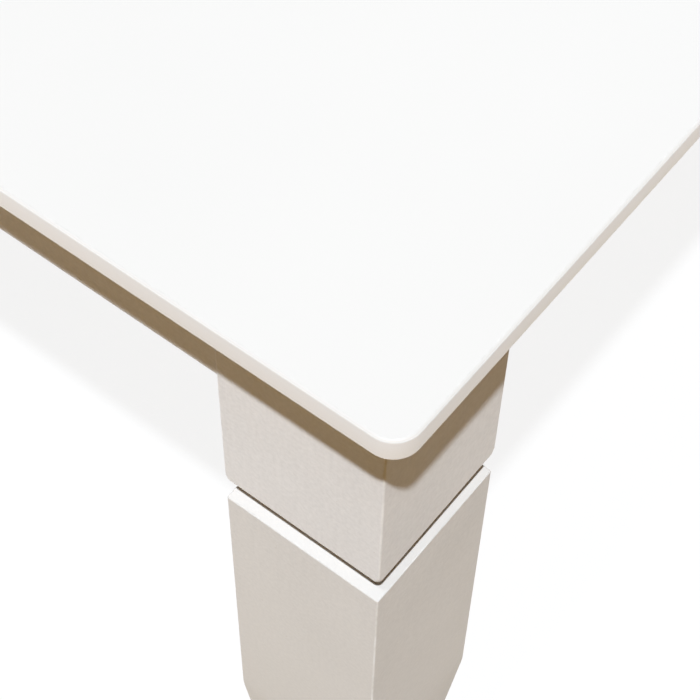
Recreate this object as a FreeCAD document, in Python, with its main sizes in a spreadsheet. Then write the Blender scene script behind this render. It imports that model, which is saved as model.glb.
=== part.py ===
import FreeCAD, Part
import math
import os

import Sketcher

# A white dining table: a thin overhanging top on four aprons and four square legs. Each leg is a block
# under the top, a recessed neck that leaves an open groove, and a post that tapers to the foot.
#
# Millimetres. The origin is on the floor under the middle of the top, X runs along the length, Y along
# the width and Z up. Front is -Y and left is -X. What repeats at the corners is made once, at the front
# left corner, where every inward direction is positive, and mirrored to the other three.

# Driving dimensions: name, millimetres, what it measures
SIZES = (
    ("table_length", "1600", "top, along X"),
    ("table_width", "900", "top, along Y"),
    ("table_height", "760", "floor to the top surface"),
    ("top_thickness", "18", "board"),
    ("top_corner_radius", "17", "plan corners of the top"),
    ("top_arris_radius", "2", "upper and lower arris of the top"),
    ("top_overhang", "27", "top edge past the leg's outer face"),
    ("leg_side", "120", "square section of block and post"),
    ("block_height", "189", "leg block under the top"),
    ("block_edge_radius", "1.5", "upright edges of the block"),
    ("block_corner_radius", "4.5", "the same edges at the block's lower end"),
    ("block_ease_height", "5", "lower end where the edges grow rounder"),
    ("block_arris_radius", "1", "arris round the block's lower end"),
    ("groove_height", "23", "open groove between block and post"),
    ("groove_depth", "20", "leg's face to the neck inside the groove"),
    ("post_straight", "274", "straight part of the post, under the groove"),
    ("post_edge_radius", "1.5", "upright edges of the post"),
    ("post_arris_radius", "0.8", "arris round the post's top and foot"),
    ("crease_radius", "130", "soft turn from straight to taper"),
    ("foot_side", "76", "square foot of the post"),
    ("glide_diameter", "40", "glide under the foot"),
    ("glide_chamfer", "1", "lower rim of the glide"),
    ("glide_web", "2.5", "plastic of the glide above the nail's head"),
    ("nail_sink", "1", "nail head above the floor"),
    ("nail_diameter", "3", "glide nail"),
    ("nail_length", "25", "glide nail, under the head"),
    ("nail_head_rim", "2.5", "nail head past its shank"),
    ("nail_head_height", "1.5", "nail head"),
    ("apron_height", "80", "all four aprons"),
    ("apron_thickness", "22", "all four aprons"),
    ("apron_setback", "1.5", "apron behind the leg's outer face"),
    ("apron_arris_radius", "1.5", "lower edges of the aprons"),
    ("apron_wall", "8", "apron left outside its dowels and brace screws"),
    ("rail_height", "60", "cross rails under the top"),
    ("rail_thickness", "22", "cross rails"),
    ("brace_height", "60", "corner brace"),
    ("brace_thickness", "20", "corner brace, square to the diagonal"),
    ("brace_seat", "20", "cut across the block's inner corner, along each side"),
    ("dowel_diameter", "10", "all dowels"),
    ("apron_dowel_length", "40", "half in the leg block, half in the apron"),
    ("rail_dowel_length", "40", "apron to cross rail"),
    ("neck_dowel_depth", "25", "into block and into post"),
    ("tie_diameter", "10", "rod that clamps block, neck and post"),
    ("tie_reach", "45", "rod below the post's top"),
    ("tie_tail", "3", "rod past its nut"),
    ("tie_headroom", "6.5", "rod's end to the top board"),
    ("tie_washer_rim", "9", "tie washer past its rod"),
    ("tie_washer_thickness", "2.5", "tie washer"),
    ("tie_nut_wall", "3.5", "tie nut, flat to rod"),
    ("tie_nut_height", "8", "tie nut"),
    ("insert_wall", "3", "threaded insert round the rod"),
    ("insert_length", "30", "threaded insert in the post"),
    ("hanger_diameter", "8", "hanger bolt, leg to brace"),
    ("hanger_clear", "26", "leg's axis to the hanger bolt's end"),
    ("hanger_tail", "4", "hanger bolt past its nut"),
    ("brace_washer_rim", "4", "washer past the hanger bolt"),
    ("brace_washer_thickness", "1.6", "washer on the hanger bolt"),
    ("brace_nut_wall", "2.5", "nut on the hanger bolt, flat to bolt"),
    ("brace_nut_height", "6.5", "nut on the hanger bolt"),
    ("screw_diameter", "4", "wood screws"),
    ("screw_head_rim", "2", "screw head past its shank"),
    ("screw_head_height", "2.4", "wood screws"),
    ("screw_socket_across", "3", "driver socket of a wood screw, across flats"),
    ("screw_socket_depth", "1.5", "driver socket of a wood screw"),
    ("screw_wall", "6", "thinnest board left past a bracket screw"),
    ("bracket_leaf", "30", "both leaves of a top bracket"),
    ("bracket_width", "20", "top bracket"),
    ("bracket_thickness", "2", "top bracket"),
    ("bracket_corner_radius", "4", "free corners of a top bracket"),
    ("bolt_gap", "0.5", "round bolts and heads in clearance holes"),
    ("fit_gap", "0.1", "round dowels, inserts, nails and threads"),
    ("hole_relief", "1", "blind holes past the fastener's end"),
    ("cut_overrun", "4", "cuts past an open face"),
    ("neck_dowel_share", "0.3", "neck dowels off the leg's axis, of the neck's side"),
    ("brace_screw_share", "0.6", "spacing of the screws in a brace's end, of its height"),
    ("brace_bite_share", "0.28", "brace under a screw's head, of its run along the apron"),
    ("bracket_hole_share", "0.6", "bracket's corner to each hole, of its leaf"),
    ("head_crown_share", "0.6", "crown of a screw or nail head, of its diameter"),
)

# Worked out from the sizes: heights, lines of the front left corner, and sizes that follow others
PLACES = (
    ("top_under", "size.table_height - size.top_thickness"),
    ("block_under", "top_under - size.block_height"),
    ("post_top", "block_under - size.groove_height"),
    ("crease_z", "post_top - size.post_straight"),
    ("apron_under", "top_under - size.apron_height"),
    ("apron_mid_z", "top_under - size.apron_height / 2"),
    ("rail_under", "top_under - size.rail_height"),
    ("rail_mid_z", "top_under - size.rail_height / 2"),
    ("brace_under", "top_under - size.brace_height"),
    ("brace_mid_z", "top_under - size.brace_height / 2"),
    ("outer_x", "size.top_overhang - size.table_length / 2"),
    ("outer_y", "size.top_overhang - size.table_width / 2"),
    ("leg_x", "outer_x + size.leg_side / 2"),
    ("leg_y", "outer_y + size.leg_side / 2"),
    ("inner_x", "outer_x + size.leg_side"),
    ("inner_y", "outer_y + size.leg_side"),
    ("neck_side", "size.leg_side - 2 * size.groove_depth"),
    ("neck_dowel_reach", "neck_side * size.neck_dowel_share"),
    ("glide_recess", "size.nail_sink + size.nail_head_height"),
    ("glide_top", "glide_recess + size.glide_web"),
    ("nail_head_diameter", "size.nail_diameter + 2 * size.nail_head_rim"),
    ("taper_run", "(size.leg_side - size.foot_side) / 2"),
    ("taper_angle", "atan(taper_run / (crease_z - glide_top))"),
    ("crease_reach", "size.crease_radius * tan(taper_angle / 2)"),
    ("crease_top", "crease_z + crease_reach"),
    ("crease_bottom", "crease_z - crease_reach * cos(taper_angle)"),
    ("crease_bottom_half", "size.leg_side / 2 - crease_reach * sin(taper_angle)"),
    ("apron_out_x", "outer_x + size.apron_setback"),
    ("apron_out_y", "outer_y + size.apron_setback"),
    ("apron_mid_x", "apron_out_x + size.apron_thickness / 2"),
    ("apron_mid_y", "apron_out_y + size.apron_thickness / 2"),
    ("apron_in_x", "apron_out_x + size.apron_thickness"),
    ("apron_in_y", "apron_out_y + size.apron_thickness"),
    ("rail_x", "inner_x / 3"),
    ("rail_out_x", "rail_x - size.rail_thickness / 2"),
    ("rail_dowel_depth", "size.apron_thickness - size.apron_wall"),
    ("tie_top_z", "top_under - size.tie_headroom"),
    ("tie_nut_z", "tie_top_z - size.tie_tail - size.tie_nut_height"),
    ("tie_seat_z", "tie_nut_z - size.tie_washer_thickness"),
    ("tie_bottom_z", "post_top - size.tie_reach"),
    ("tie_washer_diameter", "size.tie_diameter + 2 * size.tie_washer_rim"),
    ("tie_nut_across", "size.tie_diameter + 2 * size.tie_nut_wall"),
    ("insert_diameter", "size.tie_diameter + 2 * size.insert_wall"),
    ("insert_under", "post_top - size.insert_length"),
    ("seat_x", "inner_x - size.brace_seat / 2"),
    ("seat_y", "inner_y - size.brace_seat / 2"),
    ("hanger_depth", "(size.leg_side - size.brace_seat) / sqrt(2) - size.hanger_clear"),
    ("brace_washer_diameter", "size.hanger_diameter + 2 * size.brace_washer_rim"),
    ("brace_nut_across", "size.hanger_diameter + 2 * size.brace_nut_wall"),
    ("brace_run", "size.brace_thickness * sqrt(2)"),
    ("brace_x", "seat_x + seat_y - apron_in_y"),
    ("brace_y", "seat_x + seat_y - apron_in_x"),
    ("brace_end_x", "brace_x + brace_run"),
    ("brace_end_y", "brace_y + brace_run"),
    ("brace_screw_bite", "brace_run * size.brace_bite_share"),
    ("brace_screw_length", "brace_screw_bite + size.apron_thickness - size.apron_wall"),
    ("screw_head_diameter", "size.screw_diameter + 2 * size.screw_head_rim"),
    ("bracket_hole_reach", "size.bracket_leaf * size.bracket_hole_share"),
    ("thinnest_board", "min(size.top_thickness; size.apron_thickness; size.rail_thickness)"),
    ("bracket_screw_length", "size.bracket_thickness + thinnest_board - size.screw_wall"),
    ("long_bracket_x", "(rail_out_x + brace_end_x) / 2"),
    ("short_bracket_y", "brace_end_y / 2"),
    ("rail_bracket_y", "apron_in_y / 2"),
)

UP = FreeCAD.Vector(0, 0, 1)
ALONG_X = FreeCAD.Vector(1, 0, 0)
ALONG_Y = FreeCAD.Vector(0, 1, 0)
DIAGONAL = FreeCAD.Vector(1, 1, 0)
HEXAGON_SIDES = 6
TOLERANCE = 1e-6

doc = FreeCAD.newDocument("dining_table")
nodes = []
cuts = []


def fill_sheet(name, rows):
    sheet = doc.addObject("Spreadsheet::Sheet", name)
    for number, (alias, text, note) in enumerate(rows, start=1):
        sheet.set(f"A{number}", note)
        sheet.set(f"B{number}", text)
        sheet.setAlias(f"B{number}", alias)
    doc.recompute()


def bind(thing, expressions):
    """Binds properties to expressions in the sheets' names."""
    for path, expression in expressions.items():
        thing.setExpression(path, expression)
    return thing


def put(thing, x, y, z, direction=UP):
    """Points a thing's own Z along a direction and binds its place."""
    thing.Placement = FreeCAD.Placement(FreeCAD.Vector(), FreeCAD.Rotation(UP, direction))
    return bind(thing, {"Placement.Base.x": x, "Placement.Base.y": y, "Placement.Base.z": z})


def box(name, length, width, height, x, y, z):
    solid = bind(doc.addObject("Part::Box", name), {"Length": length, "Width": width, "Height": height})
    return put(solid, x, y, z)


def rod(name, diameter, length, x, y, z, direction=UP):
    solid = doc.addObject("Part::Cylinder", name)
    bind(solid, {"Radius": f"({diameter}) / 2", "Height": length})
    return put(solid, x, y, z, direction)


def head(name, diameter, height, x, y, z, direction):
    """A crowned screw or nail head that stands on its seat."""
    solid = doc.addObject("Part::Cone", name)
    crown = f"{diameter} / 2 * size.head_crown_share"
    bind(solid, {"Radius1": f"{diameter} / 2", "Radius2": crown, "Height": height})
    return put(solid, x, y, z, direction)


def hexagon(name, across_flats, height, x, y, z, direction=UP):
    solid = doc.addObject("Part::Prism", name)
    solid.Polygon = HEXAGON_SIDES
    bind(solid, {"Circumradius": f"{across_flats} / sqrt(3)", "Height": height})
    return put(solid, x, y, z, direction)


def fuse(name, shapes):
    joined = doc.addObject("Part::MultiFuse", name)
    joined.Shapes = shapes
    return joined


def cut(name, base, tools):
    result = doc.addObject("Part::Cut", name)
    result.Base = base
    result.Tool = tools[0] if len(tools) == 1 else fuse(f"{name}_tools", tools)
    cuts.append(result)
    return result


def mirror(name, source, normal):
    image = doc.addObject("Part::Mirroring", name)
    image.Source = source
    image.Normal = normal
    return image


def both(source, normal):
    """A thing and its mirror image across one middle plane of the table."""
    return [source, mirror(f"{source.Name}_image", source, normal)]


def corners(source):
    """A front left thing and its images at the other three corners."""
    right = mirror(f"{source.Name}_front_right", source, ALONG_X)
    back = mirror(f"{source.Name}_back_left", source, ALONG_Y)
    far = mirror(f"{source.Name}_back_right", right, ALONG_Y)
    return {"front_left": source, "front_right": right, "back_left": back, "back_right": far}


def node(label, shape):
    shape.Label = label
    nodes.append(shape)


def corner_nodes(label, source):
    for corner, shape in corners(source).items():
        node(f"{label}_{corner}", shape)


def group_node(label, shapes):
    group = doc.addObject("Part::Compound", label)
    group.Links = shapes
    node(label, group)


def corner_group(label, sources):
    group_node(label, [image for source in sources for image in corners(source).values()])


def new_body(name):
    return doc.addObject("PartDesign::Body", name)


def outward_arc(start, end, radius):
    """The short arc between two points of an outline that runs anticlockwise."""
    chord = end - start
    rise = math.sqrt(radius ** 2 - (chord.Length / 2) ** 2)
    centre = (start + end) / 2 + UP.cross(chord).normalize() * rise
    first, last = (math.atan2(point.y - centre.y, point.x - centre.x) for point in (start, end))
    return Part.ArcOfCircle(Part.Circle(centre, UP, radius), first, last)


def outline(body, plane_role, points, radii=None):
    """A closed sketch, anticlockwise through points on an origin plane.

    Each point is a pair of expressions. radii gives the radius of each side that is an arc, by the number
    of the point where it starts.
    """
    radii = radii or {}
    plane = next(plane for plane in body.Origin.OriginFeatures if plane.Role == plane_role)
    sketch = body.newObject("Sketcher::SketchObject", f"{body.Name}_outline")
    sketch.AttachmentSupport = [(plane, "")]
    sketch.MapMode = "FlatFace"
    count = len(points)
    places_now = [[float(sketch.evalExpression(text)) for text in point] for point in points]
    starts = [FreeCAD.Vector(across, along, 0) for across, along in places_now]

    def bind_to(expression, *constraint):
        number = sketch.addConstraint(Sketcher.Constraint(*constraint))
        sketch.setExpression(f"Constraints[{number}]", expression)

    for number, start in enumerate(starts):
        end = starts[(number + 1) % count]
        if number in radii:
            side = outward_arc(start, end, float(sketch.evalExpression(radii[number])))
        else:
            side = Part.LineSegment(start, end)
        sketch.addGeometry(side, False)
    for number in range(count):
        sketch.addConstraint(Sketcher.Constraint("Coincident", number, 2, (number + 1) % count, 1))
    for number, (across, along) in enumerate(points):
        bind_to(across, "DistanceX", -1, 1, number, 1, starts[number].x)
        bind_to(along, "DistanceY", -1, 1, number, 1, starts[number].y)
    for number, radius in radii.items():
        bind_to(radius, "Radius", number, float(sketch.evalExpression(radius)))
    return sketch


def rectangle(length, width):
    """Corner points of a rectangle about the origin."""
    return [
        (f"-({length}) / 2", f"-({width}) / 2"),
        (f"({length}) / 2", f"-({width}) / 2"),
        (f"({length}) / 2", f"({width}) / 2"),
        (f"-({length}) / 2", f"({width}) / 2"),
    ]


def rounded_square(side, radius):
    """Points of a square about the origin with round corners, and the radii of its arcs."""
    reach = f"({side}) / 2"
    turn = f"({reach} - {radius})"
    points = [
        (f"-{turn}", f"-{reach}"),
        (turn, f"-{reach}"),
        (reach, f"-{turn}"),
        (reach, turn),
        (turn, reach),
        (f"-{turn}", reach),
        (f"-{reach}", turn),
        (f"-{reach}", f"-{turn}"),
    ]
    arcs = range(1, len(points), 2)
    return points, {start: radius for start in arcs}


def pad(body, sketch, length, side="One side"):
    feature = body.newObject("PartDesign::Pad", f"{body.Name}_pad")
    feature.Profile = sketch
    feature.SideType = side
    bind(feature, {"Length": length})
    doc.recompute()
    return feature


def round_edges(body, wanted, radius):
    """Rounds the edges of a body's newest feature that pass a test."""
    base = body.Tip
    edges = enumerate(base.Shape.Edges, start=1)
    feature = body.newObject("PartDesign::Fillet", f"{body.Name}_round")
    feature.Base = (base, [f"Edge{number}" for number, edge in edges if wanted(edge)])
    bind(feature, {"Radius": radius})
    doc.recompute()
    return feature


def run_of(edge):
    """From an edge's first end to its last."""
    return edge.lastVertex().Point - edge.firstVertex().Point


def is_upright(edge):
    """True where an edge climbs, straight or leaning."""
    return abs(run_of(edge).z) > run_of(edge).Length / 2


def is_level(edge):
    return abs(run_of(edge).z) < TOLERANCE


def lies_at(height):
    """A test for level edges at a height of their own body."""
    return lambda edge: is_level(edge) and abs(edge.CenterOfMass.z - height) < TOLERANCE


def crosses_leaf(edge):
    """True for the short edges at the free ends of a bracket's leaves."""
    return abs(edge.Length - sizes.bracket_thickness) < TOLERANCE


def pair_heights(middle, spacing):
    """The two heights of a pair of fasteners, one above the other."""
    return (f"{middle} - ({spacing}) / 2", f"{middle} + ({spacing}) / 2")


def build_top(pilots):
    """One board with round plan corners and eased arrises, bored from below for the bracket screws."""
    body = new_body("top_board")
    plan = outline(body, "XY_Plane", rectangle("size.table_length", "size.table_width"))
    pad(body, plan, "size.top_thickness")
    round_edges(body, is_upright, "size.top_corner_radius")
    round_edges(body, is_level, "size.top_arris_radius")
    put(body, "0", "0", "place.top_under")
    node("table_top", cut("table_top", body, pilots))


def build_ties():
    """Rod, nut, washer and insert on the leg's axis, and the dowels beside them, with their holes."""
    axis = ("place.leg_x", "place.leg_y")
    bore = "size.tie_diameter + 2 * size.bolt_gap"
    thread = "size.tie_diameter + 2 * size.fit_gap"
    tie_length = "place.tie_top_z - place.tie_bottom_z"
    tie_rod = rod("tie_rod", "size.tie_diameter", tie_length, *axis, "place.tie_bottom_z")
    corner_group("leg_tie_rods", [tie_rod])

    long_bore = rod("tie_bore", bore, f"{tie_length} + size.hole_relief + size.tie_headroom", *axis,
                    "place.tie_bottom_z - size.hole_relief")
    thread_bore = rod("tie_thread", thread, tie_length, *axis, "place.tie_bottom_z")
    washer_disc = rod("tie_washer_disc", "place.tie_washer_diameter", "size.tie_washer_thickness", *axis,
                      "place.tie_seat_z")
    corner_group("leg_tie_washers", [cut("tie_washer", washer_disc, [long_bore])])
    nut_blank = hexagon("tie_nut_blank", "place.tie_nut_across", "size.tie_nut_height", *axis,
                        "place.tie_nut_z")
    corner_group("leg_tie_nuts", [cut("tie_nut", nut_blank, [thread_bore])])
    insert_blank = rod("insert_blank", "place.insert_diameter", "size.insert_length", *axis,
                       "place.insert_under")
    corner_group("leg_inserts", [cut("leg_insert", insert_blank, [thread_bore])])

    pocket = rod("tie_pocket", "place.tie_washer_diameter + 2 * size.bolt_gap",
                 "place.top_under - place.tie_seat_z + size.cut_overrun", *axis, "place.tie_seat_z")
    insert_hole = rod("insert_hole", "place.insert_diameter + 2 * size.fit_gap",
                      "size.insert_length + size.cut_overrun", *axis, "place.insert_under")

    dowel_length = "size.groove_height + 2 * size.neck_dowel_depth"
    dowel_z = "place.post_top - size.neck_dowel_depth"
    dowels = []
    dowel_holes = []
    for side, sign in (("left", "-"), ("right", "+")):
        x = f"place.leg_x {sign} place.neck_dowel_reach"
        dowels.append(
            rod(f"neck_dowel_{side}", "size.dowel_diameter", dowel_length, x, "place.leg_y", dowel_z))
        dowel_holes.append(
            rod(f"neck_dowel_hole_{side}", "size.dowel_diameter + 2 * size.fit_gap",
                f"{dowel_length} + 2 * size.hole_relief", x, "place.leg_y",
                f"{dowel_z} - size.hole_relief"))
    corner_group("neck_dowels", dowels)
    return {
        "block": [long_bore, pocket, *dowel_holes],
        "neck": [long_bore, *dowel_holes],
        "post": [long_bore, insert_hole, *dowel_holes],
    }


def build_apron_dowels():
    """Two dowels from the leg block into the end of each apron, with holes that serve both pieces."""
    dowels = []
    holes = {"front": [], "left": []}
    diameter = "size.dowel_diameter"
    hole_diameter = f"{diameter} + 2 * size.fit_gap"
    length = "size.apron_dowel_length"
    hole_length = f"{length} + 2 * size.hole_relief"
    start_x = f"place.inner_x - {length} / 2"
    start_y = f"place.inner_y - {length} / 2"
    for number, z in enumerate(pair_heights("place.apron_mid_z", "size.apron_height / 2")):
        dowels.append(
            rod(f"front_dowel_{number}", diameter, length, start_x, "place.apron_mid_y", z, ALONG_X))
        dowels.append(
            rod(f"left_dowel_{number}", diameter, length, "place.apron_mid_x", start_y, z, ALONG_Y))
        holes["front"].append(
            rod(f"front_dowel_hole_{number}", hole_diameter, hole_length, f"{start_x} - size.hole_relief",
                "place.apron_mid_y", z, ALONG_X))
        holes["left"].append(
            rod(f"left_dowel_hole_{number}", hole_diameter, hole_length, "place.apron_mid_x",
                f"{start_y} - size.hole_relief", z, ALONG_Y))
    corner_group("apron_dowels", dowels)
    return holes


def build_hangers():
    """Two bolts across each corner: threaded into the leg block, nutted on the inside of the brace."""
    bolts = []
    washers = []
    nuts = []
    leg_holes = []
    brace_holes = []
    bolt_length = ("place.hanger_depth + size.brace_thickness + size.brace_washer_thickness"
                   " + size.brace_nut_height + size.hanger_tail")
    thread = "size.hanger_diameter + 2 * size.fit_gap"
    clear = "size.hanger_diameter + 2 * size.bolt_gap"

    def along(distance):
        """A point on the bolt's line, measured inward from the seat."""
        return (f"place.seat_x + ({distance}) / sqrt(2)", f"place.seat_y + ({distance}) / sqrt(2)")

    start = along("-place.hanger_depth")
    hole_start = along("-place.hanger_depth - size.hole_relief")
    seat = along("0")
    washer_seat = along("size.brace_thickness")
    nut_seat = along("size.brace_thickness + size.brace_washer_thickness")
    for number, z in enumerate(pair_heights("place.brace_mid_z", "size.brace_height / 2")):
        bolts.append(rod(f"hanger_{number}", "size.hanger_diameter", bolt_length, *start, z, DIAGONAL))
        leg_hole = rod(f"hanger_hole_{number}", thread, f"{bolt_length} + size.hole_relief",
                       *hole_start, z, DIAGONAL)
        brace_hole = rod(f"hanger_clearance_{number}", clear, bolt_length, *seat, z, DIAGONAL)
        leg_holes.append(leg_hole)
        brace_holes.append(brace_hole)
        disc = rod(f"brace_washer_disc_{number}", "place.brace_washer_diameter",
                   "size.brace_washer_thickness", *washer_seat, z, DIAGONAL)
        washers.append(cut(f"brace_washer_{number}", disc, [brace_hole]))
        blank = hexagon(f"brace_nut_blank_{number}", "place.brace_nut_across", "size.brace_nut_height",
                        *nut_seat, z, DIAGONAL)
        nuts.append(cut(f"brace_nut_{number}", blank, [leg_hole]))
    corner_group("hanger_bolts", bolts)
    corner_group("brace_washers", washers)
    corner_group("brace_nuts", nuts)
    return leg_holes, brace_holes


def nail(name, diameter, length, head_diameter, head_height, x, y, z, direction):
    """A headed shank: the head stands on the given point, and the shank runs along the direction."""
    shank = rod(f"{name}_shank", diameter, length, x, y, z, direction)
    return fuse(name, [shank, head(f"{name}_head", head_diameter, head_height, x, y, z, direction * -1)])


def wood_screw(name, diameter, length, x, y, z, direction):
    """A wood screw with a driver socket in its head."""
    blank = nail(f"{name}_blank", diameter, length, "place.screw_head_diameter", "size.screw_head_height",
                 x, y, z, direction)
    bottom = "(size.screw_head_height - size.screw_socket_depth)"
    socket = hexagon(f"{name}_socket", "size.screw_socket_across", "size.screw_head_height",
                     f"{x} - {direction.x} * {bottom}", f"{y} - {direction.y} * {bottom}",
                     f"{z} - {direction.z} * {bottom}", direction * -1)
    return cut(name, blank, [socket])


def build_braces(brace_holes):
    """Mitred wooden corner braces, each screwed to two aprons. Returns the pilot holes for the aprons."""
    body = new_body("brace_board")
    points = [
        ("place.brace_x", "place.apron_in_y"),
        ("place.brace_end_x", "place.apron_in_y"),
        ("place.apron_in_x", "place.brace_end_y"),
        ("place.apron_in_x", "place.brace_y"),
    ]
    pad(body, outline(body, "XY_Plane", points), "size.brace_height")
    put(body, "0", "0", "place.brace_under")

    screws = []
    openings = []
    pilots = {"front": [], "left": []}
    middle_x = "(place.brace_x + place.brace_end_x) / 2"
    middle_y = "(place.brace_y + place.brace_end_y) / 2"
    head_x = "place.apron_in_x + place.brace_screw_bite"
    head_y = "place.apron_in_y + place.brace_screw_bite"
    shank_hole = "size.screw_diameter + 2 * size.fit_gap"
    head_hole = "place.screw_head_diameter + 2 * size.bolt_gap"
    spacing = "size.brace_height * size.brace_screw_share"
    for number, z in enumerate(pair_heights("place.brace_mid_z", spacing)):
        for apron, x, y, direction in (
            ("front", middle_x, head_y, ALONG_Y * -1),
            ("left", head_x, middle_y, ALONG_X * -1),
        ):
            name = f"brace_screw_{apron}_{number}"
            screws.append(wood_screw(name, "size.screw_diameter", "place.brace_screw_length",
                                     x, y, z, direction))
            shank = rod(f"{name}_hole", shank_hole, "place.brace_screw_length + size.hole_relief",
                        x, y, z, direction)
            pilots[apron].append(shank)
            openings.append(shank)
            openings.append(
                rod(f"{name}_counterbore", head_hole, "place.brace_run", x, y, z, direction * -1))
    corner_group("brace_screws", screws)
    corner_nodes("corner_brace", cut("corner_brace", body, [*brace_holes, *openings]))
    return pilots


def build_blocks(holes):
    """The square block at the head of each leg, with a flat seat across its inner corner.

    Its upright edges grow rounder over the last few millimetres above the groove.
    """
    body = new_body("block_blank")
    lower = outline(body, "XY_Plane", *rounded_square("size.leg_side", "size.block_corner_radius"))
    section = outline(body, "XY_Plane", *rounded_square("size.leg_side", "size.block_edge_radius"))
    bind(section, {"AttachmentOffset.Base.z": "size.block_ease_height"})
    ease = body.newObject("PartDesign::AdditiveLoft", "block_ease")
    ease.Profile = lower
    ease.Sections = [section]
    ease.Ruled = True
    doc.recompute()
    pad(body, section, "size.block_height - size.block_ease_height")
    round_edges(body, lies_at(0), "size.block_arris_radius")
    past = "size.leg_side / 2 + size.cut_overrun"
    short = "size.leg_side / 2 - size.brace_seat - size.cut_overrun"
    seat = outline(body, "XY_Plane", [(past, short), (past, past), (short, past)])
    bind(seat, {"AttachmentOffset.Base.z": "size.block_height"})
    pocket = body.newObject("PartDesign::Pocket", "block_seat")
    pocket.Profile = seat
    bind(pocket, {"Length": "size.brace_height"})
    put(body, "place.leg_x", "place.leg_y", "place.block_under")
    corner_nodes("leg_block", cut("leg_block", body, holes))


def build_necks(holes):
    blank = box("neck_blank", "place.neck_side", "place.neck_side", "size.groove_height",
                "place.leg_x - place.neck_side / 2", "place.leg_y - place.neck_side / 2", "place.post_top")
    corner_nodes("leg_neck", cut("leg_neck", blank, holes))


def post_side(name, plane_role):
    """The post's side outline, straight and then tapered, run through the full width of the leg."""
    body = new_body(name)
    half = "size.leg_side / 2"
    foot = "size.foot_side / 2"
    points = [
        (f"-{half}", "place.post_top"),
        (f"-{half}", "place.crease_top"),
        ("-place.crease_bottom_half", "place.crease_bottom"),
        (f"-{foot}", "place.glide_top"),
        (foot, "place.glide_top"),
        ("place.crease_bottom_half", "place.crease_bottom"),
        (half, "place.crease_top"),
        (half, "place.post_top"),
    ]
    left_crease = 1
    right_crease = 5
    radii = {left_crease: "size.crease_radius", right_crease: "size.crease_radius"}
    pad(body, outline(body, plane_role, points, radii), "size.leg_side", "Symmetric")
    return body


def build_posts(holes):
    """The lower leg: what the same side outline leaves when it is cut from two sides."""
    body = post_side("post_blank", "XZ_Plane")
    crossing = post_side("post_crossing", "YZ_Plane")
    common = body.newObject("PartDesign::Boolean", "post_common")
    common.Type = "Common"
    common.setObjects([crossing])
    doc.recompute()
    round_edges(body, is_upright, "size.post_edge_radius")
    at_top = lies_at(places.post_top)
    at_foot = lies_at(places.glide_top)
    round_edges(body, lambda edge: at_top(edge) or at_foot(edge), "size.post_arris_radius")
    put(body, "place.leg_x", "place.leg_y", "0")
    corner_nodes("leg_post", cut("leg_post", body, holes))


def build_glides():
    """Plastic glides, each held by a nail with a sunken head. Returns the nail's hole in the post."""
    body = new_body("glide_disc")
    rim = "size.glide_diameter / 2"
    bore = "size.nail_diameter / 2 + size.fit_gap"
    recess = "place.nail_head_diameter / 2 + size.bolt_gap"
    points = [
        (bore, "place.glide_recess"),
        (recess, "place.glide_recess"),
        (recess, "0"),
        (f"{rim} - size.glide_chamfer", "0"),
        (rim, "size.glide_chamfer"),
        (rim, "place.glide_top"),
        (bore, "place.glide_top"),
    ]
    sketch = outline(body, "XZ_Plane", points)
    turned = body.newObject("PartDesign::Revolution", "glide_turned")
    turned.Profile = sketch
    turned.ReferenceAxis = (sketch, ["V_Axis"])
    put(body, "place.leg_x", "place.leg_y", "0")
    corner_nodes("foot_glide", body)

    seat = ("place.leg_x", "place.leg_y", "place.glide_recess")
    corner_group("glide_nails", [nail("glide_nail", "size.nail_diameter", "size.nail_length",
                                      "place.nail_head_diameter", "size.nail_head_height", *seat, UP)])
    return rod("nail_hole", "size.nail_diameter + 2 * size.fit_gap", "size.nail_length + size.hole_relief",
               *seat, UP)


def build_rail_dowels():
    """Two dowels from each long apron into the end of a cross rail."""
    dowels = []
    holes = []
    start_y = "place.apron_in_y - place.rail_dowel_depth"
    for number, z in enumerate(pair_heights("place.rail_mid_z", "size.rail_height / 2")):
        dowels.append(rod(f"rail_dowel_{number}", "size.dowel_diameter", "size.rail_dowel_length",
                          "place.rail_x", start_y, z, ALONG_Y))
        holes.append(rod(f"rail_dowel_hole_{number}", "size.dowel_diameter + 2 * size.fit_gap",
                         "size.rail_dowel_length + 2 * size.hole_relief", "place.rail_x",
                         f"{start_y} - size.hole_relief", z, ALONG_Y))
    corner_group("rail_dowels", dowels)
    return holes


def top_bracket(name, x, y, facing):
    """An angle bracket in the corner of the top and an upright face, which looks along facing."""
    body = new_body(f"{name}_angle")
    leaf = "size.bracket_leaf"
    thick = "size.bracket_thickness"
    points = [
        ("0", "0"),
        ("0", f"-{leaf}"),
        (thick, f"-{leaf}"),
        (thick, f"-{thick}"),
        (leaf, f"-{thick}"),
        (leaf, "0"),
    ]
    pad(body, outline(body, "YZ_Plane", points), "size.bracket_width", "Symmetric")
    round_edges(body, crosses_leaf, "size.bracket_corner_radius")
    body.Placement = FreeCAD.Placement(FreeCAD.Vector(), FreeCAD.Rotation(ALONG_Y, facing))
    bind(body, {"Placement.Base.x": x, "Placement.Base.y": y, "Placement.Base.z": "place.top_under"})

    def inward(distance):
        """A point in front of the upright face."""
        return (f"{x} + {facing.x} * {distance}", f"{y} + {facing.y} * {distance}")

    reach = "place.bracket_hole_reach"
    seats = {
        "up": (*inward(reach), f"place.top_under - {thick}", UP),
        "side": (*inward(thick), f"place.top_under - {reach}", facing * -1),
    }
    kit = {"screws": []}
    for way, seat in seats.items():
        kit["screws"].append(wood_screw(f"{name}_{way}_screw", "size.screw_diameter",
                                        "place.bracket_screw_length", *seat))
        kit[way] = rod(f"{name}_{way}_hole", "size.screw_diameter + 2 * size.fit_gap",
                       "place.bracket_screw_length + size.hole_relief", *seat)
    kit["bracket"] = cut(name, body, [kit["up"], kit["side"]])
    return kit


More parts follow.
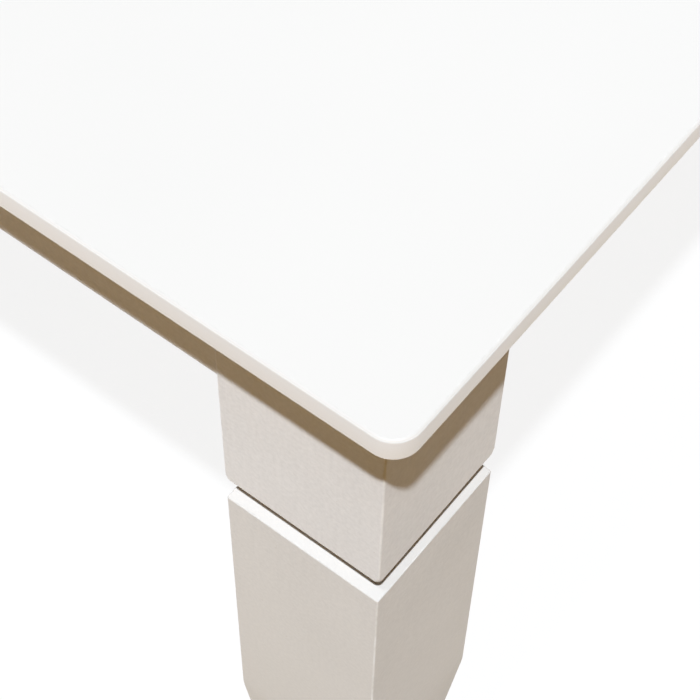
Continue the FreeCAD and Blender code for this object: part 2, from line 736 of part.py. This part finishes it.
def build_brackets():
    """Angle brackets that hold the top down, along the aprons and the rails."""
    kits = {
        "middle": top_bracket("middle_bracket", "0", "place.apron_in_y", ALONG_Y),
        "long": top_bracket("long_bracket", "place.long_bracket_x", "place.apron_in_y", ALONG_Y),
        "short": top_bracket("short_bracket", "place.apron_in_x", "place.short_bracket_y", ALONG_X),
        "rail": top_bracket("rail_bracket", "place.rail_out_x", "place.rail_bracket_y", ALONG_X * -1),
    }
    copies = {"middle": lambda source: both(source, ALONG_Y)}
    brackets = []
    screws = []
    top_pilots = []
    for spot, kit in kits.items():
        spread = copies.get(spot, lambda source: list(corners(source).values()))
        brackets += spread(kit["bracket"])
        top_pilots += spread(kit["up"])
        for source in kit["screws"]:
            screws += spread(source)
    group_node("top_brackets", brackets)
    group_node("bracket_screws", screws)
    return top_pilots, {spot: kit["side"] for spot, kit in kits.items()}


def apron_blank(name, low_x, low_y, high_x, high_y):
    """A board on edge, with its two long lower edges eased."""
    body = new_body(name)
    points = [(low_x, low_y), (high_x, low_y), (high_x, high_y), (low_x, high_y)]
    pad(body, outline(body, "XY_Plane", points), "size.apron_height")
    at_foot = lies_at(0)
    longest = max(edge.Length for edge in body.Shape.Edges)
    round_edges(body, lambda edge: at_foot(edge) and edge.Length > longest - TOLERANCE,
                "size.apron_arris_radius")
    return put(body, "0", "0", "place.apron_under")


def build_aprons(dowel_holes, brace_pilots, rail_holes, side_pilots):
    """Two long and two short boards between the leg blocks."""
    long_blank = apron_blank("long_blank", "place.inner_x", "place.apron_out_y",
                             "-place.inner_x", "place.apron_in_y")
    left_half = fuse("long_holes", [*dowel_holes["front"], *brace_pilots["front"], *rail_holes,
                                    side_pilots["long"]])
    front = cut("apron_front", long_blank, [*both(left_half, ALONG_X), side_pilots["middle"]])
    for label, shape in zip(("apron_front", "apron_back"), both(front, ALONG_Y)):
        node(label, shape)

    short_blank = apron_blank("short_blank", "place.apron_out_x", "place.inner_y",
                              "place.apron_in_x", "-place.inner_y")
    front_half = fuse("short_holes", [*dowel_holes["left"], *brace_pilots["left"], side_pilots["short"]])
    left = cut("apron_left", short_blank, both(front_half, ALONG_Y))
    for label, shape in zip(("apron_left", "apron_right"), both(left, ALONG_X)):
        node(label, shape)


def build_rails(rail_holes, side_pilots):
    """Two bearers across the table, between the long aprons."""
    blank = box("rail_blank", "size.rail_thickness", "-2 * place.apron_in_y", "size.rail_height",
                "place.rail_out_x", "place.apron_in_y", "place.rail_under")
    front_half = fuse("rail_holes", [*rail_holes, side_pilots["rail"]])
    left = cut("cross_rail_left", blank, both(front_half, ALONG_Y))
    for label, shape in zip(("cross_rail_left", "cross_rail_right"), both(left, ALONG_X)):
        node(label, shape)


def check():
    """Stops if any feature failed, a node is no valid solid, or a cut took nothing away."""
    failed = [thing.Name for thing in doc.Objects if "Invalid" in thing.State or "Error" in thing.State]
    unsound = [shape.Label for shape in nodes if shape.Shape.isNull() or not shape.Shape.isValid()]
    empty = [shape.Label for shape in nodes if not shape.Shape.Solids]
    idle = [result.Name for result in cuts if result.Shape.Volume > result.Base.Shape.Volume - TOLERANCE]
    if failed or unsound or empty or idle:
        raise RuntimeError(f"failed {failed}, not valid {unsound}, empty {empty}, idle cuts {idle}")


def write():
    os.makedirs("parts", exist_ok=True)
    for shape in nodes:
        shape.Shape.exportStep(f"parts/{shape.Label}.step")
    print(f"{len(nodes)} nodes, {sum(len(shape.Shape.Solids) for shape in nodes)} solids")


fill_sheet("size", SIZES)
fill_sheet("place", [(alias, f"={formula}", "") for alias, formula in PLACES])
sizes = doc.getObject("size")
places = doc.getObject("place")

tie_holes = build_ties()
apron_dowel_holes = build_apron_dowels()
hanger_leg_holes, hanger_brace_holes = build_hangers()
brace_pilots = build_braces(hanger_brace_holes)
apron_end_holes = [*apron_dowel_holes["front"], *apron_dowel_holes["left"]]
build_blocks([*tie_holes["block"], *apron_end_holes, *hanger_leg_holes])
build_necks(tie_holes["neck"])
build_posts([*tie_holes["post"], build_glides()])
rail_dowel_holes = build_rail_dowels()
top_pilots, bracket_pilots = build_brackets()
build_aprons(apron_dowel_holes, brace_pilots, rail_dowel_holes, bracket_pilots)
build_rails(rail_dowel_holes, bracket_pilots)
build_top(top_pilots)
doc.recompute()
check()
write()
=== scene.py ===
import math

import bpy
from mathutils import Matrix, Vector

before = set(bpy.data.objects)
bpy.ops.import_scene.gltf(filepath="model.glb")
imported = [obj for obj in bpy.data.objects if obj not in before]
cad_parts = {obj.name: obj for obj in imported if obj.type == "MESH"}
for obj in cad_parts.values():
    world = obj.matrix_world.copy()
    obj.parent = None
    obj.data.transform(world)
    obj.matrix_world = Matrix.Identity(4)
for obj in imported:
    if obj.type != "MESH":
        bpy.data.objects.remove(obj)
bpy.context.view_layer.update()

# A white dining table, seen from above one corner. Metres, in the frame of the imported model.
# Colours are linear.

# Camera, from the edges of the leg's two parts in the photograph
IMAGE_SIDE = 700
FOCAL_PIXELS = 1726.4
SENSOR_WIDTH = 36.0
CAMERA_PLACE = Vector((-1.17276, -0.6974, 1.47055))
CAMERA_RIGHT = Vector((0.61489, -0.7885, 0.01345))
CAMERA_AHEAD = Vector((0.46522, 0.34891, -0.81353))

# Light: a key from above the front left, a weak lamp from above the left, and a dim sky
KEY_DIRECTION = Vector((0.355, 0.235, -1.0))
KEY_ANGLE = math.radians(1.5)
KEY_STRENGTH = 3.2
SIDE_DIRECTION = Vector((0.36, 0.03, -1.0))
SIDE_ANGLE = math.radians(2.0)
SIDE_STRENGTH = 0.5
LAMP_COLOUR = (0.95, 1.0, 1.06)
SKY_COLOUR = (1.0, 0.95, 0.88)
SKY_STRENGTH = 0.04
WHITE = (1.0, 1.0, 1.0)

# Floor: white to the eye, with the table's shadow. The light that it sends back is warm in front of the
# table, weaker near the corner in view, and pale under and behind the table. A pair is the distance or
# the coordinate at which one bounce starts to give way to the next, and the one at which it has done so.
FLOOR_REACH = 9.0
FLOOR_WHITE = (0.97, 0.97, 0.97)
FLOOR_GLOW_SHARE = 0.88
BOUNCE_NEAR = (0.22, 0.12, 0.03)
BOUNCE_FAR = (0.91, 0.49, 0.085)
BOUNCE_PALE = (0.84, 0.82, 0.79)
NEAR_PLACE = (-1.2, -0.85, 0.0)
NEAR_TO_FAR = (0.6, 2.2)
BEHIND_X = (0.2, 1.2)
BEHIND_Y = (0.5, 1.6)
UNDER_X = (-0.75, -0.45)
UNDER_Y = (-0.4, -0.1)

# Masks: the values they go between, where most of a noise's values lie, and the middle of those
RISING = (0.0, 1.0)
FALLING = (1.0, 0.0)
NOISE_RANGE = (0.3, 0.7)
NOISE_MIDDLE = (0.4, 0.6)
# Scale of a noise whose coordinates are stretched already
AS_STRETCHED = 1.0
# How level a surface is where the mask of upright faces and the two sides of the mask of arrises change
UPRIGHT_ENDS = (0.45, 0.7)
ARRIS_STARTS = (0.5, 0.68)
ARRIS_ENDS = (0.985, 0.999)
# How squarely a surface faces along X or Y where the mask of rounded upright edges changes
CORNER_ENDS = (0.8, 0.99)

# Places of the colour sockets on the mix node, whose names aren't unique
MIX_FIRST = 6
MIX_SECOND = 7
MIX_RESULT = 2


def rgba(colour, factor=1.0):
    return (*(channel * factor for channel in colour), 1.0)


class Finish:
    """A material under construction: its node tree, its shader and the object's own coordinates."""

    def __init__(self, name):
        self.material = bpy.data.materials.new(name)
        self.material.use_nodes = True
        self.tree = self.material.node_tree
        self.shader = self.tree.nodes["Principled BSDF"]
        self.place = self.node("ShaderNodeTexCoord").outputs["Object"]

    def node(self, kind, inputs=None, **settings):
        made = self.tree.nodes.new(kind)
        for name, value in settings.items():
            setattr(made, name, value)
        for name, value in (inputs or {}).items():
            self.feed(made.inputs[name], value)
        return made

    def feed(self, socket, value):
        """Links a socket to another, or sets it to a value."""
        if isinstance(value, bpy.types.NodeSocket):
            self.tree.links.new(value, socket)
        else:
            socket.default_value = value

    def set(self, **inputs):
        """Links or sets the shader's inputs. An underscore stands for a space in an input's name."""
        for name, value in inputs.items():
            self.feed(self.shader.inputs[name.replace("_", " ")], value)

    def stretched(self, scale):
        """The object's coordinates, scaled along each axis."""
        return self.node("ShaderNodeMapping", {"Vector": self.place, "Scale": scale}).outputs["Vector"]

    def noise(self, scale, detail, roughness=0.5, vector=None):
        inputs = {"Vector": vector or self.place, "Scale": scale, "Detail": detail, "Roughness": roughness}
        return self.node("ShaderNodeTexNoise", inputs).outputs["Fac"]

    def spread(self, value, onto, over=RISING):
        """Maps one range of values onto another."""
        made = self.node("ShaderNodeMapRange", {
            "Value": value,
            "From Min": over[0],
            "From Max": over[1],
            "To Min": onto[0],
            "To Max": onto[1],
        })
        return made.outputs["Result"]

    def maths(self, operation, first, second=0.0):
        made = self.node("ShaderNodeMath", operation=operation)
        self.feed(made.inputs[0], first)
        self.feed(made.inputs[1], second)
        return made.outputs["Value"]

    def blend(self, share, first, second):
        """From the first colour to the second."""
        made = self.node("ShaderNodeMix", {"Factor": share}, data_type="RGBA")
        self.feed(made.inputs[MIX_FIRST], first)
        self.feed(made.inputs[MIX_SECOND], second)
        return made.outputs[MIX_RESULT]

    def shades(self, share, colour, ends):
        """One colour, from its darkest shade to its lightest."""
        darkest, lightest = ends
        return self.blend(share, rgba(colour, darkest), rgba(colour, lightest))

    def height(self):
        return self.node("ShaderNodeSeparateXYZ", {"Vector": self.place}).outputs["Z"]

    def facing(self, axis):
        """How squarely a surface faces along an axis, either way: from zero, edge on, to one, square on."""
        normal = self.node("ShaderNodeNewGeometry").outputs["Normal"]
        parts = self.node("ShaderNodeSeparateXYZ", {"Vector": normal})
        return self.maths("ABSOLUTE", parts.outputs[axis])

    def levelness(self):
        """One on level faces, and zero on upright ones."""
        return self.facing("Z")

    def upright(self):
        """One on upright faces, and zero on level ones."""
        return self.spread(self.levelness(), onto=FALLING, over=UPRIGHT_ENDS)

    def arris(self):
        """One where a surface turns from level towards upright, and zero on level and upright faces."""
        off_level = self.spread(self.levelness(), onto=FALLING, over=ARRIS_ENDS)
        off_upright = self.spread(self.levelness(), onto=RISING, over=ARRIS_STARTS)
        return self.maths("MULTIPLY", off_level, off_upright)

    def corner(self):
        """One on rounded upright edges, and zero on the upright faces beside them."""
        squarest = self.maths("MAXIMUM", self.facing("X"), self.facing("Y"))
        turning = self.spread(squarest, onto=FALLING, over=CORNER_ENDS)
        return self.maths("MULTIPLY", turning, self.upright())

    def specks(self, scale, radius, rarity):
        """One on small round specks in a few of the cells of a pattern, and zero elsewhere."""
        cells = self.node("ShaderNodeTexVoronoi", {"Vector": self.place, "Scale": scale})
        chance = self.node("ShaderNodeSeparateColor", {"Color": cells.outputs["Color"]}).outputs["Red"]
        near = self.maths("LESS_THAN", cells.outputs["Distance"], radius)
        few = self.maths("GREATER_THAN", chance, rarity)
        return self.maths("MULTIPLY", near, few)

    def bump(self, height, distance, strength, normal=None):
        inputs = {"Height": height, "Distance": distance, "Strength": strength}
        if normal is not None:
            inputs["Normal"] = normal
        return self.node("ShaderNodeBump", inputs).outputs["Normal"]


# Lacquer of the top. Its edge is painted lighter than the face, as painted light, and goes from a painted
# shade at its foot to that lighter tone between two heights.
LACQUER = (0.842, 0.81, 0.77)
LACQUER_SHADES = (0.985, 1.015)
PAINTED_LIGHT_EDGE = (0.915, 0.915, 0.915)
PAINTED_SHADE_EDGE_FOOT = (0.88, 0.86, 0.83)
EDGE_HEIGHTS = (0.744, 0.757)
MOTTLE_SCALE = 5.0
TOP_WEAR_AND_SHADE_SCALE = 40.0
TOP_WEAR_AND_SHADE_TONES = (0.6, 1.0)
SMEAR_SCALE = 22.0
LACQUER_ROUGHNESS = (0.38, 0.5)
ORANGE_PEEL_SCALE = 700.0
# Tone of a dulled arris, on the top and on the frame: partly wear, partly painted shade that keeps the arris
# highlight no brighter than the faces
DULLING_WEAR_AND_SHADE = 0.95


def lacquer():
    """Smooth sprayed white, a little mottled, with orange peel, an edge painted lighter with painted shade
    at its foot, and arrises dulled by wear and painted shade.
    """
    finish = Finish("top_lacquer")
    face = finish.shades(finish.noise(MOTTLE_SCALE, detail=3.0), LACQUER, LACQUER_SHADES)
    # Painted light and shade: the edge is lighter than the face, and darker towards its foot
    edge_foot_shade = finish.spread(finish.height(), onto=FALLING, over=EDGE_HEIGHTS)
    edge = finish.blend(edge_foot_shade, rgba(PAINTED_LIGHT_EDGE), rgba(PAINTED_SHADE_EDGE_FOOT))
    body = finish.blend(finish.upright(), face, edge)
    # Painted shade, with some wear: arrises that turn towards the light are dulled in patches
    patchy = finish.spread(finish.noise(TOP_WEAR_AND_SHADE_SCALE, detail=4.0), onto=TOP_WEAR_AND_SHADE_TONES, over=NOISE_RANGE)
    wear_and_painted_light = finish.maths("MULTIPLY", finish.arris(), patchy)
    orange_peel = finish.noise(ORANGE_PEEL_SCALE, detail=1.0)
    finish.set(
        Base_Color=finish.blend(wear_and_painted_light, body, rgba(LACQUER, DULLING_WEAR_AND_SHADE)),
        Diffuse_Roughness=0.3,
        Roughness=finish.spread(finish.noise(SMEAR_SCALE, detail=4.0), onto=LACQUER_ROUGHNESS),
        Normal=finish.bump(orange_peel, distance=0.0002, strength=0.08),
        Specular_IOR_Level=0.4,
        Coat_Weight=0.3,
        Coat_Roughness=0.4,
    )
    return finish.material


# Paint of the legs and aprons. The three ranges that start at zero add up to its tone.
FRAME_PAINT = (0.865, 0.86, 0.858)
POST_PAINT = (0.78, 0.765, 0.745)
PAINT_SHADES = (0.90, 1.05)
GRAIN_TONE = (0.0, 0.2)
ROLLER_SCALE = 330.0
ROLLER_TONE = (0.0, 0.5)
CLOUD_SCALE = 14.0
CLOUD_TONE = (0.0, 0.3)
# Dust and painted shade on level faces, and painted shade low on upright ones for the light's falloff, which
# fades out between two heights
DUST_AND_PAINTED_SHADE = (0.79, 0.77, 0.745)
FALLOFF_SHADE_COLOUR = (0.70, 0.65, 0.575)
FALLOFF_SHADE_SHARES = (0.6, 0.0)
FALLOFF_SHADE_HEIGHTS = (0.25, 0.60)
# Nibs: cells to the metre, radius and rarity as shares, strength and colour
NIB_SCALE = 70.0
NIB_RADIUS = 0.045
NIB_RARITY = 0.9
NIB_SHARE = 0.35
NIB_COLOUR = (0.55, 0.50, 0.42)
# Upright edges, rubbed to a lighter tone in patches: wear, and a painted highlight along the rounded edges
RUBBED_AND_HIGHLIT_EDGE = (0.95, 0.945, 0.94)
EDGE_WEAR_AND_HIGHLIGHT_SCALE = 55.0
EDGE_WEAR_AND_HIGHLIGHT_TONES = (0.1, 0.8)
STIPPLE_SCALE = 600.0
PAINT_ROUGHNESS = (0.42, 0.62)


def paint(name, colour, grain_scale):
    """Satin white over wood: faint grain along the piece, roller stipple, nibs, painted shade lower down and
    with dust on level faces, arrises dulled by wear and painted shade, and edges lightened by wear and a
    painted highlight.
    """
    finish = Finish(name)
    along = finish.stretched(grain_scale)
    streaks = finish.noise(AS_STRETCHED, detail=5.0, roughness=0.6, vector=along)
    grain = finish.spread(streaks, onto=GRAIN_TONE, over=NOISE_RANGE)
    rolled = finish.spread(finish.noise(ROLLER_SCALE, detail=3.0), onto=ROLLER_TONE, over=NOISE_RANGE)
    clouds = finish.spread(finish.noise(CLOUD_SCALE, detail=4.0), onto=CLOUD_TONE, over=NOISE_RANGE)
    tone = finish.maths("ADD", grain, finish.maths("ADD", rolled, clouds))
    clean = finish.shades(tone, colour, PAINT_SHADES)
    # Painted shade: upright faces darken towards the floor, standing in for the light's falloff down the leg
    low = finish.spread(finish.height(), onto=FALLOFF_SHADE_SHARES, over=FALLOFF_SHADE_HEIGHTS)
    falloff_shaded = finish.blend(low, clean, rgba(FALLOFF_SHADE_COLOUR))
    # Dust and painted shade: level faces, which face the light, are darker than upright ones
    body = finish.blend(finish.upright(), rgba(DUST_AND_PAINTED_SHADE), falloff_shaded)
    nibs = finish.maths("MULTIPLY", finish.specks(NIB_SCALE, NIB_RADIUS, NIB_RARITY), NIB_SHARE)
    speckled = finish.blend(nibs, body, rgba(NIB_COLOUR))
    # Painted shade, with some wear: arrises of the paint are dulled to a darker tone
    wear_and_shade_dulled = finish.blend(finish.arris(), speckled, rgba(DUST_AND_PAINTED_SHADE, DULLING_WEAR_AND_SHADE))
    # Painted highlight, with some wear: rounded upright edges are lighter in patches
    patchy = finish.spread(finish.noise(EDGE_WEAR_AND_HIGHLIGHT_SCALE, detail=4.0), onto=EDGE_WEAR_AND_HIGHLIGHT_TONES, over=NOISE_MIDDLE)
    wear_and_painted_light = finish.maths("MULTIPLY", finish.corner(), patchy)
    stipple = finish.bump(finish.noise(STIPPLE_SCALE, detail=2.0), distance=0.0003, strength=0.4)
    finish.set(
        Base_Color=finish.blend(wear_and_painted_light, wear_and_shade_dulled, rgba(RUBBED_AND_HIGHLIT_EDGE)),
        Diffuse_Roughness=0.32,
        Roughness=finish.spread(streaks, onto=PAINT_ROUGHNESS),
        Normal=finish.bump(streaks, distance=0.0006, strength=0.5, normal=stipple),
        Specular_IOR_Level=0.15,
    )
    return finish.material


# Bare woods: the light and the dark of each, their scales, and what makes up their tone
PINE = ((0.78, 0.60, 0.38), (0.60, 0.40, 0.20))
PINE_GRAIN = (4.0, 2.0, 30.0)
PINE_RINGS = 0.8
BEECH = ((0.76, 0.60, 0.43), (0.62, 0.44, 0.28))
BEECH_GRAIN = (60.0, 60.0, 60.0)
BEECH_RINGS = 1.0
RING_WAVES = {"Distortion": 7.0, "Detail": 3.0, "Detail Scale": 1.4}
RING_SHARE = 0.55
FIBRE_SCALE = 6.0
FIBRE_SHARE = 0.45
WOOD_TONES = (0.2, 0.8)
WOOD_ROUGHNESS = (0.55, 0.75)


def bare_wood(name, light, dark, grain_scale, ring_scale):
    """Planed wood: bands of early and late growth, and fine fibres."""
    finish = Finish(name)
    along = finish.stretched(grain_scale)
    waves = finish.node("ShaderNodeTexWave", {"Vector": along, "Scale": ring_scale, **RING_WAVES},
                        wave_type="RINGS", rings_direction="SPHERICAL")
    rings = finish.maths("MULTIPLY", waves.outputs["Fac"], RING_SHARE)
    fibres = finish.noise(FIBRE_SCALE, detail=8.0, roughness=0.7, vector=along)
    tone = finish.maths("ADD", rings, finish.maths("MULTIPLY", fibres, FIBRE_SHARE))
    darkness = finish.spread(tone, onto=RISING, over=WOOD_TONES)
    finish.set(
        Base_Color=finish.blend(darkness, rgba(light), rgba(dark)),
        Roughness=finish.spread(fibres, onto=WOOD_ROUGHNESS),
        Normal=finish.bump(fibres, distance=0.0006, strength=0.35),
        Specular_IOR_Level=0.3,
    )
    return finish.material


# Zinc plate
COOL_ZINC = (0.60, 0.62, 0.66)
WARM_ZINC = (0.74, 0.73, 0.68)
ZINC_PATCH_SCALE = 120.0
SCRATCH_SCALE = (900.0, 900.0, 60.0)
ZINC_ROUGHNESS = (0.24, 0.48)


def zinc():
    """Bright zinc plate: cool and warm patches and fine scratches."""
    finish = Finish("zinc_steel")
    patches = finish.noise(ZINC_PATCH_SCALE, detail=4.0)
    along = finish.stretched(SCRATCH_SCALE)
    scratches = finish.noise(AS_STRETCHED, detail=3.0, roughness=0.6, vector=along)
    finish.set(
        Base_Color=finish.blend(patches, rgba(COOL_ZINC), rgba(WARM_ZINC)),
        Metallic=1.0,
        Roughness=finish.spread(scratches, onto=ZINC_ROUGHNESS),
        Normal=finish.bump(scratches, distance=0.0002, strength=0.2),
    )
    return finish.material


# Plastic of the glides
CLEAN_PLASTIC = (0.80, 0.79, 0.75)
SCUFFED_PLASTIC = (0.68, 0.66, 0.61)
SCUFF_SCALE = 90.0
PLASTIC_ROUGHNESS = (0.45, 0.7)
SPARK_SCALE = 1500.0


def plastic():
    """Moulded off-white plastic with a fine spark-eroded texture and scuffs."""
    finish = Finish("glide_plastic")
    scuffs = finish.noise(SCUFF_SCALE, detail=6.0, roughness=0.7)
    sparks = finish.noise(SPARK_SCALE, detail=2.0)
    finish.set(
        Base_Color=finish.blend(scuffs, rgba(CLEAN_PLASTIC), rgba(SCUFFED_PLASTIC)),
        Roughness=finish.spread(scuffs, onto=PLASTIC_ROUGHNESS),
        Normal=finish.bump(sparks, distance=0.0002, strength=0.25),
    )
    return finish.material


# Scales of the painted grain, for pieces that lie along X, lie along Y or stand
ALONG_GRAIN = 7.0
ACROSS_GRAIN = 260.0
GRAIN_X = (ALONG_GRAIN, ACROSS_GRAIN, ACROSS_GRAIN)
GRAIN_Y = (ACROSS_GRAIN, ALONG_GRAIN, ACROSS_GRAIN)
GRAIN_Z = (ACROSS_GRAIN, ACROSS_GRAIN, ALONG_GRAIN)

painted_block = paint("leg_paint_block", FRAME_PAINT, GRAIN_Z)
painted_post = paint("leg_paint_post", POST_PAINT, GRAIN_Z)
painted_x = paint("leg_paint_long", FRAME_PAINT, GRAIN_X)
painted_y = paint("leg_paint_short", FRAME_PAINT, GRAIN_Y)
pine = bare_wood("frame_wood", *PINE, PINE_GRAIN, PINE_RINGS)
beech = bare_wood("dowel_wood", *BEECH, BEECH_GRAIN, BEECH_RINGS)
steel = zinc()
# Which nodes wear which finish, by the start of their names. The others are steel.
FINISHES = (
    ("table_top", lacquer()),
    ("apron_front", painted_x),
    ("apron_back", painted_x),
    ("apron_left", painted_y),
    ("apron_right", painted_y),
    ("leg_block", painted_block),
    ("leg_neck", painted_block),
    ("leg_post", painted_post),
    ("cross_rail", pine),
    ("corner_brace", pine),
    ("foot_glide", plastic()),
    ("neck_dowels", beech),
    ("apron_dowels", beech),
    ("rail_dowels", beech),
)
for name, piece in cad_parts.items():
    chosen = next((material for start, material in FINISHES if name.startswith(start)), steel)
    for material_slot in piece.material_slots:
        material_slot.material = chosen


def seen_directly(tree):
    """One for camera, glossy and transmission rays, and zero for the rest."""
    path = tree.nodes.new("ShaderNodeLightPath")
    total = path.outputs["Is Camera Ray"]
    for name in ("Is Glossy Ray", "Is Transmission Ray"):
        larger = tree.nodes.new("ShaderNodeMath")
        larger.operation = "MAXIMUM"
        tree.links.new(total, larger.inputs[0])
        tree.links.new(path.outputs[name], larger.inputs[1])
        total = larger.outputs["Value"]
    return total


def mix_shaders(tree, share, first, second):
    """From the first shader to the second."""
    mixed = tree.nodes.new("ShaderNodeMixShader")
    for socket, source in zip(mixed.inputs, (share, first, second)):
        tree.links.new(source, socket)
    return mixed.outputs["Shader"]


def bounced_colour(finish):
    """Colour of the light that the floor sends back, from place to place."""
    apart = finish.node("ShaderNodeVectorMath", operation="DISTANCE")
    finish.feed(apart.inputs[0], finish.place)
    finish.feed(apart.inputs[1], NEAR_PLACE)
    far = finish.spread(apart.outputs["Value"], onto=RISING, over=NEAR_TO_FAR)
    warm = finish.blend(far, rgba(BOUNCE_NEAR), rgba(BOUNCE_FAR))
    along = finish.node("ShaderNodeSeparateXYZ", {"Vector": finish.place}).outputs
    behind = finish.maths("MAXIMUM", finish.spread(along["X"], onto=RISING, over=BEHIND_X),
                          finish.spread(along["Y"], onto=RISING, over=BEHIND_Y))
    under = finish.maths("MINIMUM", finish.spread(along["X"], onto=RISING, over=UNDER_X),
                         finish.spread(along["Y"], onto=RISING, over=UNDER_Y))
    return finish.blend(finish.maths("MAXIMUM", behind, under), warm, rgba(BOUNCE_PALE))


def lay_floor():
    """A wide pale floor that shows white, keeps the shadow and sends light back up."""
    mesh = bpy.data.meshes.new("floor")
    corners = [(-FLOOR_REACH, -FLOOR_REACH), (FLOOR_REACH, -FLOOR_REACH), (FLOOR_REACH, FLOOR_REACH),
               (-FLOOR_REACH, FLOOR_REACH)]
    mesh.from_pydata([(x, y, 0.0) for x, y in corners], [], [(0, 1, 2, 3)])
    floor = bpy.data.objects.new("floor", mesh)
    bpy.context.scene.collection.objects.link(floor)
    finish = Finish("floor")
    finish.tree.nodes.remove(finish.shader)
    seen = seen_directly(finish.tree)
    colour = finish.blend(seen, bounced_colour(finish), rgba(FLOOR_WHITE))
    surface = finish.node("ShaderNodeBsdfDiffuse", {"Color": colour}).outputs["BSDF"]
    glow = finish.node("ShaderNodeEmission", {"Color": rgba(WHITE)}).outputs["Emission"]
    glow_share = finish.maths("MULTIPLY", seen, FLOOR_GLOW_SHARE)
    output = finish.tree.nodes["Material Output"]
    finish.feed(output.inputs["Surface"], mix_shaders(finish.tree, glow_share, surface, glow))
    mesh.materials.append(finish.material)


def hang_lamp(name, direction, angle, strength):
    """A sun lamp that shines along a direction, with shadows as soft as its angle is wide."""
    light = bpy.data.lights.new(name, "SUN")
    light.energy = strength
    light.color = LAMP_COLOUR
    light.angle = angle
    lamp = bpy.data.objects.new(name, light)
    lamp.rotation_euler = direction.to_track_quat("-Z", "Y").to_euler()
    bpy.context.scene.collection.objects.link(lamp)


def light_up():
    """Both lamps, and a world that shows white and lights the table as a dim sky."""
    hang_lamp("key", KEY_DIRECTION, KEY_ANGLE, KEY_STRENGTH)
    hang_lamp("side", SIDE_DIRECTION, SIDE_ANGLE, SIDE_STRENGTH)
    world = bpy.data.worlds.new("studio")
    world.use_nodes = True
    tree = world.node_tree
    sky = tree.nodes["Background"]
    sky.inputs["Color"].default_value = rgba(SKY_COLOUR)
    sky.inputs["Strength"].default_value = SKY_STRENGTH
    backdrop = tree.nodes.new("ShaderNodeBackground")
    backdrop.inputs["Color"].default_value = rgba(WHITE)
    mixed = mix_shaders(tree, seen_directly(tree), sky.outputs["Background"], backdrop.outputs["Background"])
    tree.links.new(mixed, tree.nodes["World Output"].inputs["Surface"])
    bpy.context.scene.world = world


def place_camera():
    """The photograph's own view."""
    lens = bpy.data.cameras.new("camera")
    lens.sensor_width = SENSOR_WIDTH
    lens.lens = FOCAL_PIXELS / IMAGE_SIDE * SENSOR_WIDTH
    camera = bpy.data.objects.new("camera", lens)
    ahead = CAMERA_AHEAD.normalized()
    right = (CAMERA_RIGHT - ahead * CAMERA_RIGHT.dot(ahead)).normalized()
    axes = Matrix((right, right.cross(ahead), -ahead)).transposed()
    camera.matrix_world = Matrix.Translation(CAMERA_PLACE) @ axes.to_4x4()
    bpy.context.scene.collection.objects.link(camera)
    bpy.context.scene.camera = camera


lay_floor()
light_up()
place_camera()
bpy.context.scene.view_settings.view_transform = "Standard"
